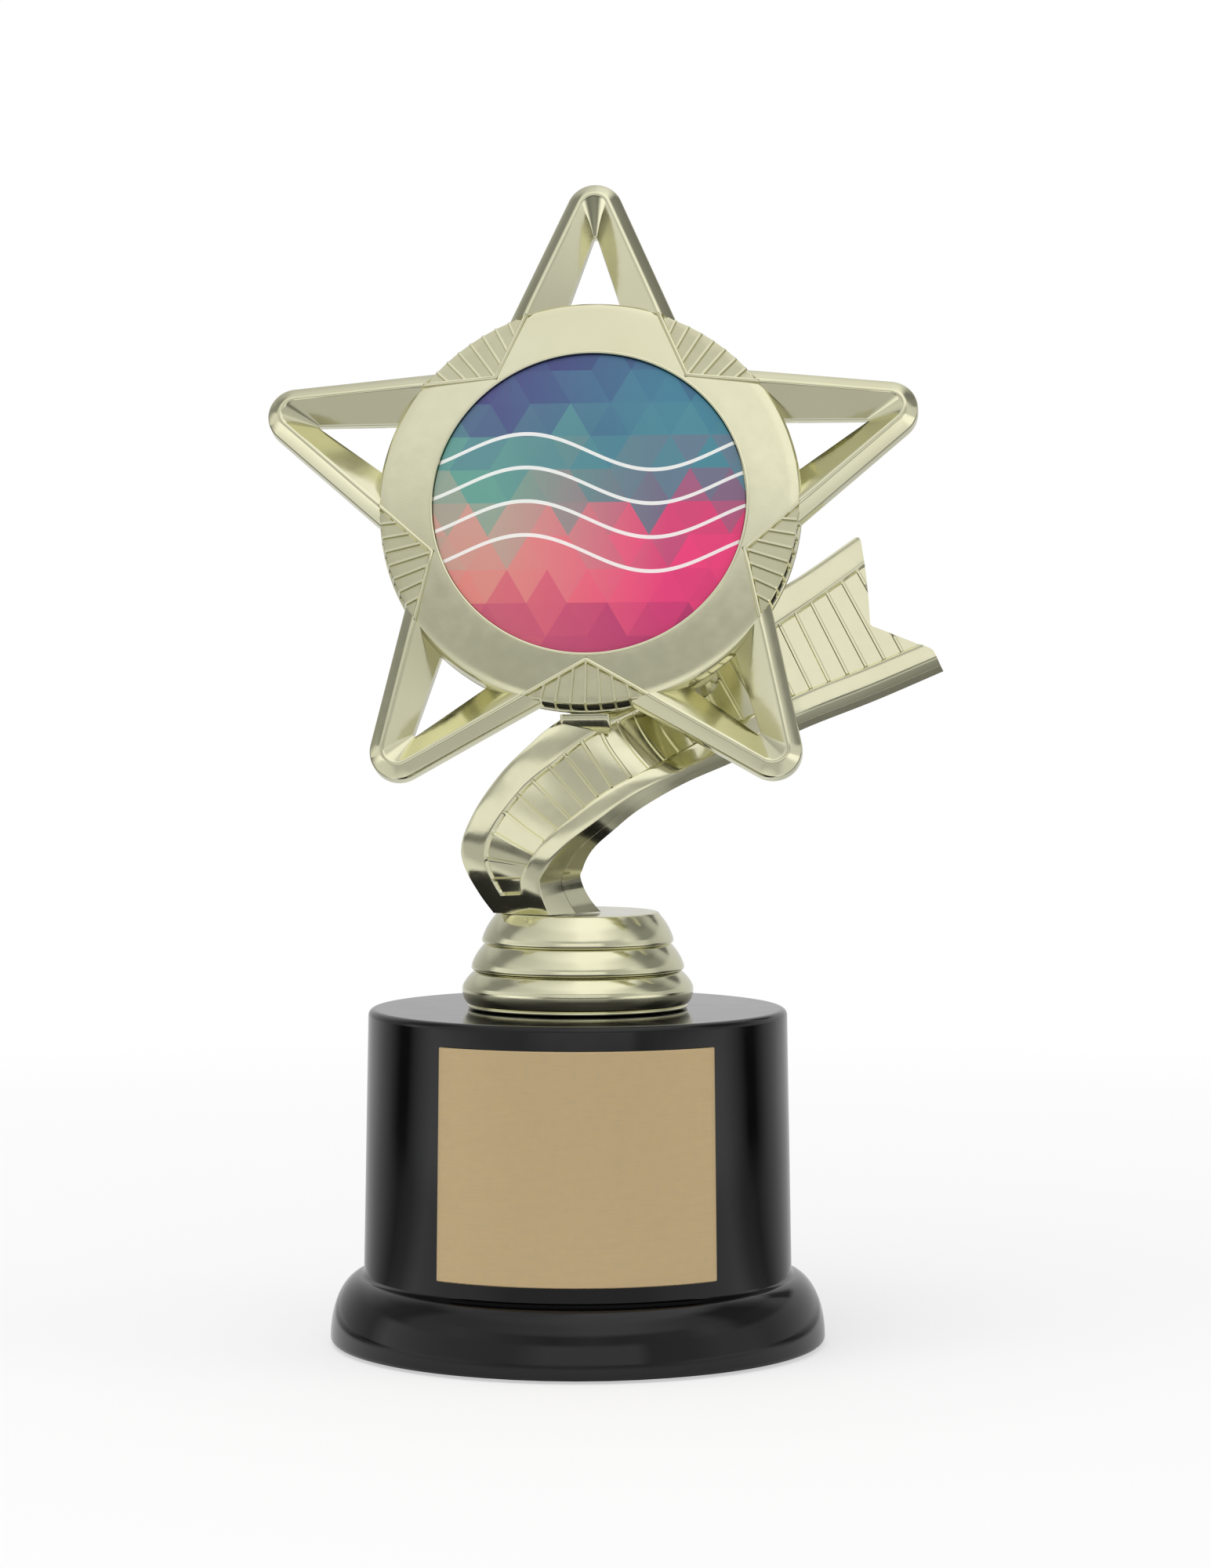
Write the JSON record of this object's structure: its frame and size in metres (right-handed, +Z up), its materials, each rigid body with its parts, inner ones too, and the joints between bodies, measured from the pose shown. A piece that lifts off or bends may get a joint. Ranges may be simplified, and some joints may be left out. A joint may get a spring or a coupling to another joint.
{
  "type": "star trophy",
  "caption": "Metallised gold star with an open-armed outline and a round insert, on a ribbon stem and tiered collar, bolted to a weighted gloss black round base with a blank plate.",
  "frame": {"origin": "middle of the felt pad's underside, on the axis of the tie rod", "axes": "+Z up along the tie rod, -Y to the front that carries the plate and the insert, +X to the viewer's right"},
  "size_m": [0.1136, 0.0814, 0.1919],
  "materials": {
    "metallised_gold": "bright pale champagne gold vacuum metallising on moulded plastic",
    "gloss_black": "polished black moulded plastic",
    "cast_weight": "cast plaster",
    "fibre_board": "pressed fibre board",
    "black_felt": "short-pile felt",
    "satin_brass": "satin brushed, blank",
    "adhesive_tape": "double-sided tape",
    "zinc_steel": "zinc-plated steel",
    "printed_insert": "printed film disc under a thin gloss coat, blue-green above and pink below"
  },
  "bodies": {
    "base": {"base_shell": "gloss_black", "base_weight": "cast_weight", "bottom_cover": "fibre_board", "felt_pad": "black_felt", "engraving_plate": "satin_brass", "plate_tape": "adhesive_tape"},
    "figure": {"collar_skirt": "metallised_gold", "collar_cap": "metallised_gold", "ribbon_front": "metallised_gold", "ribbon_back": "metallised_gold", "star_front": "metallised_gold", "star_back": "metallised_gold", "neck_block": "metallised_gold", "rear_boss": "metallised_gold", "tie_rod": "zinc_steel", "rod_nut": "zinc_steel", "lock_washer": "zinc_steel", "flat_washer": "zinc_steel", "captive_nut": "zinc_steel", "insert_tape": "adhesive_tape", "insert_disc": "printed_insert"}
  },
  "joints": [
    {"name": "figure_swivel", "type": "hinge", "parent": "base", "child": "figure", "pos_m": [0, 0, 0.055], "axis": [0, 0, 1], "continuous": true}
  ]
}
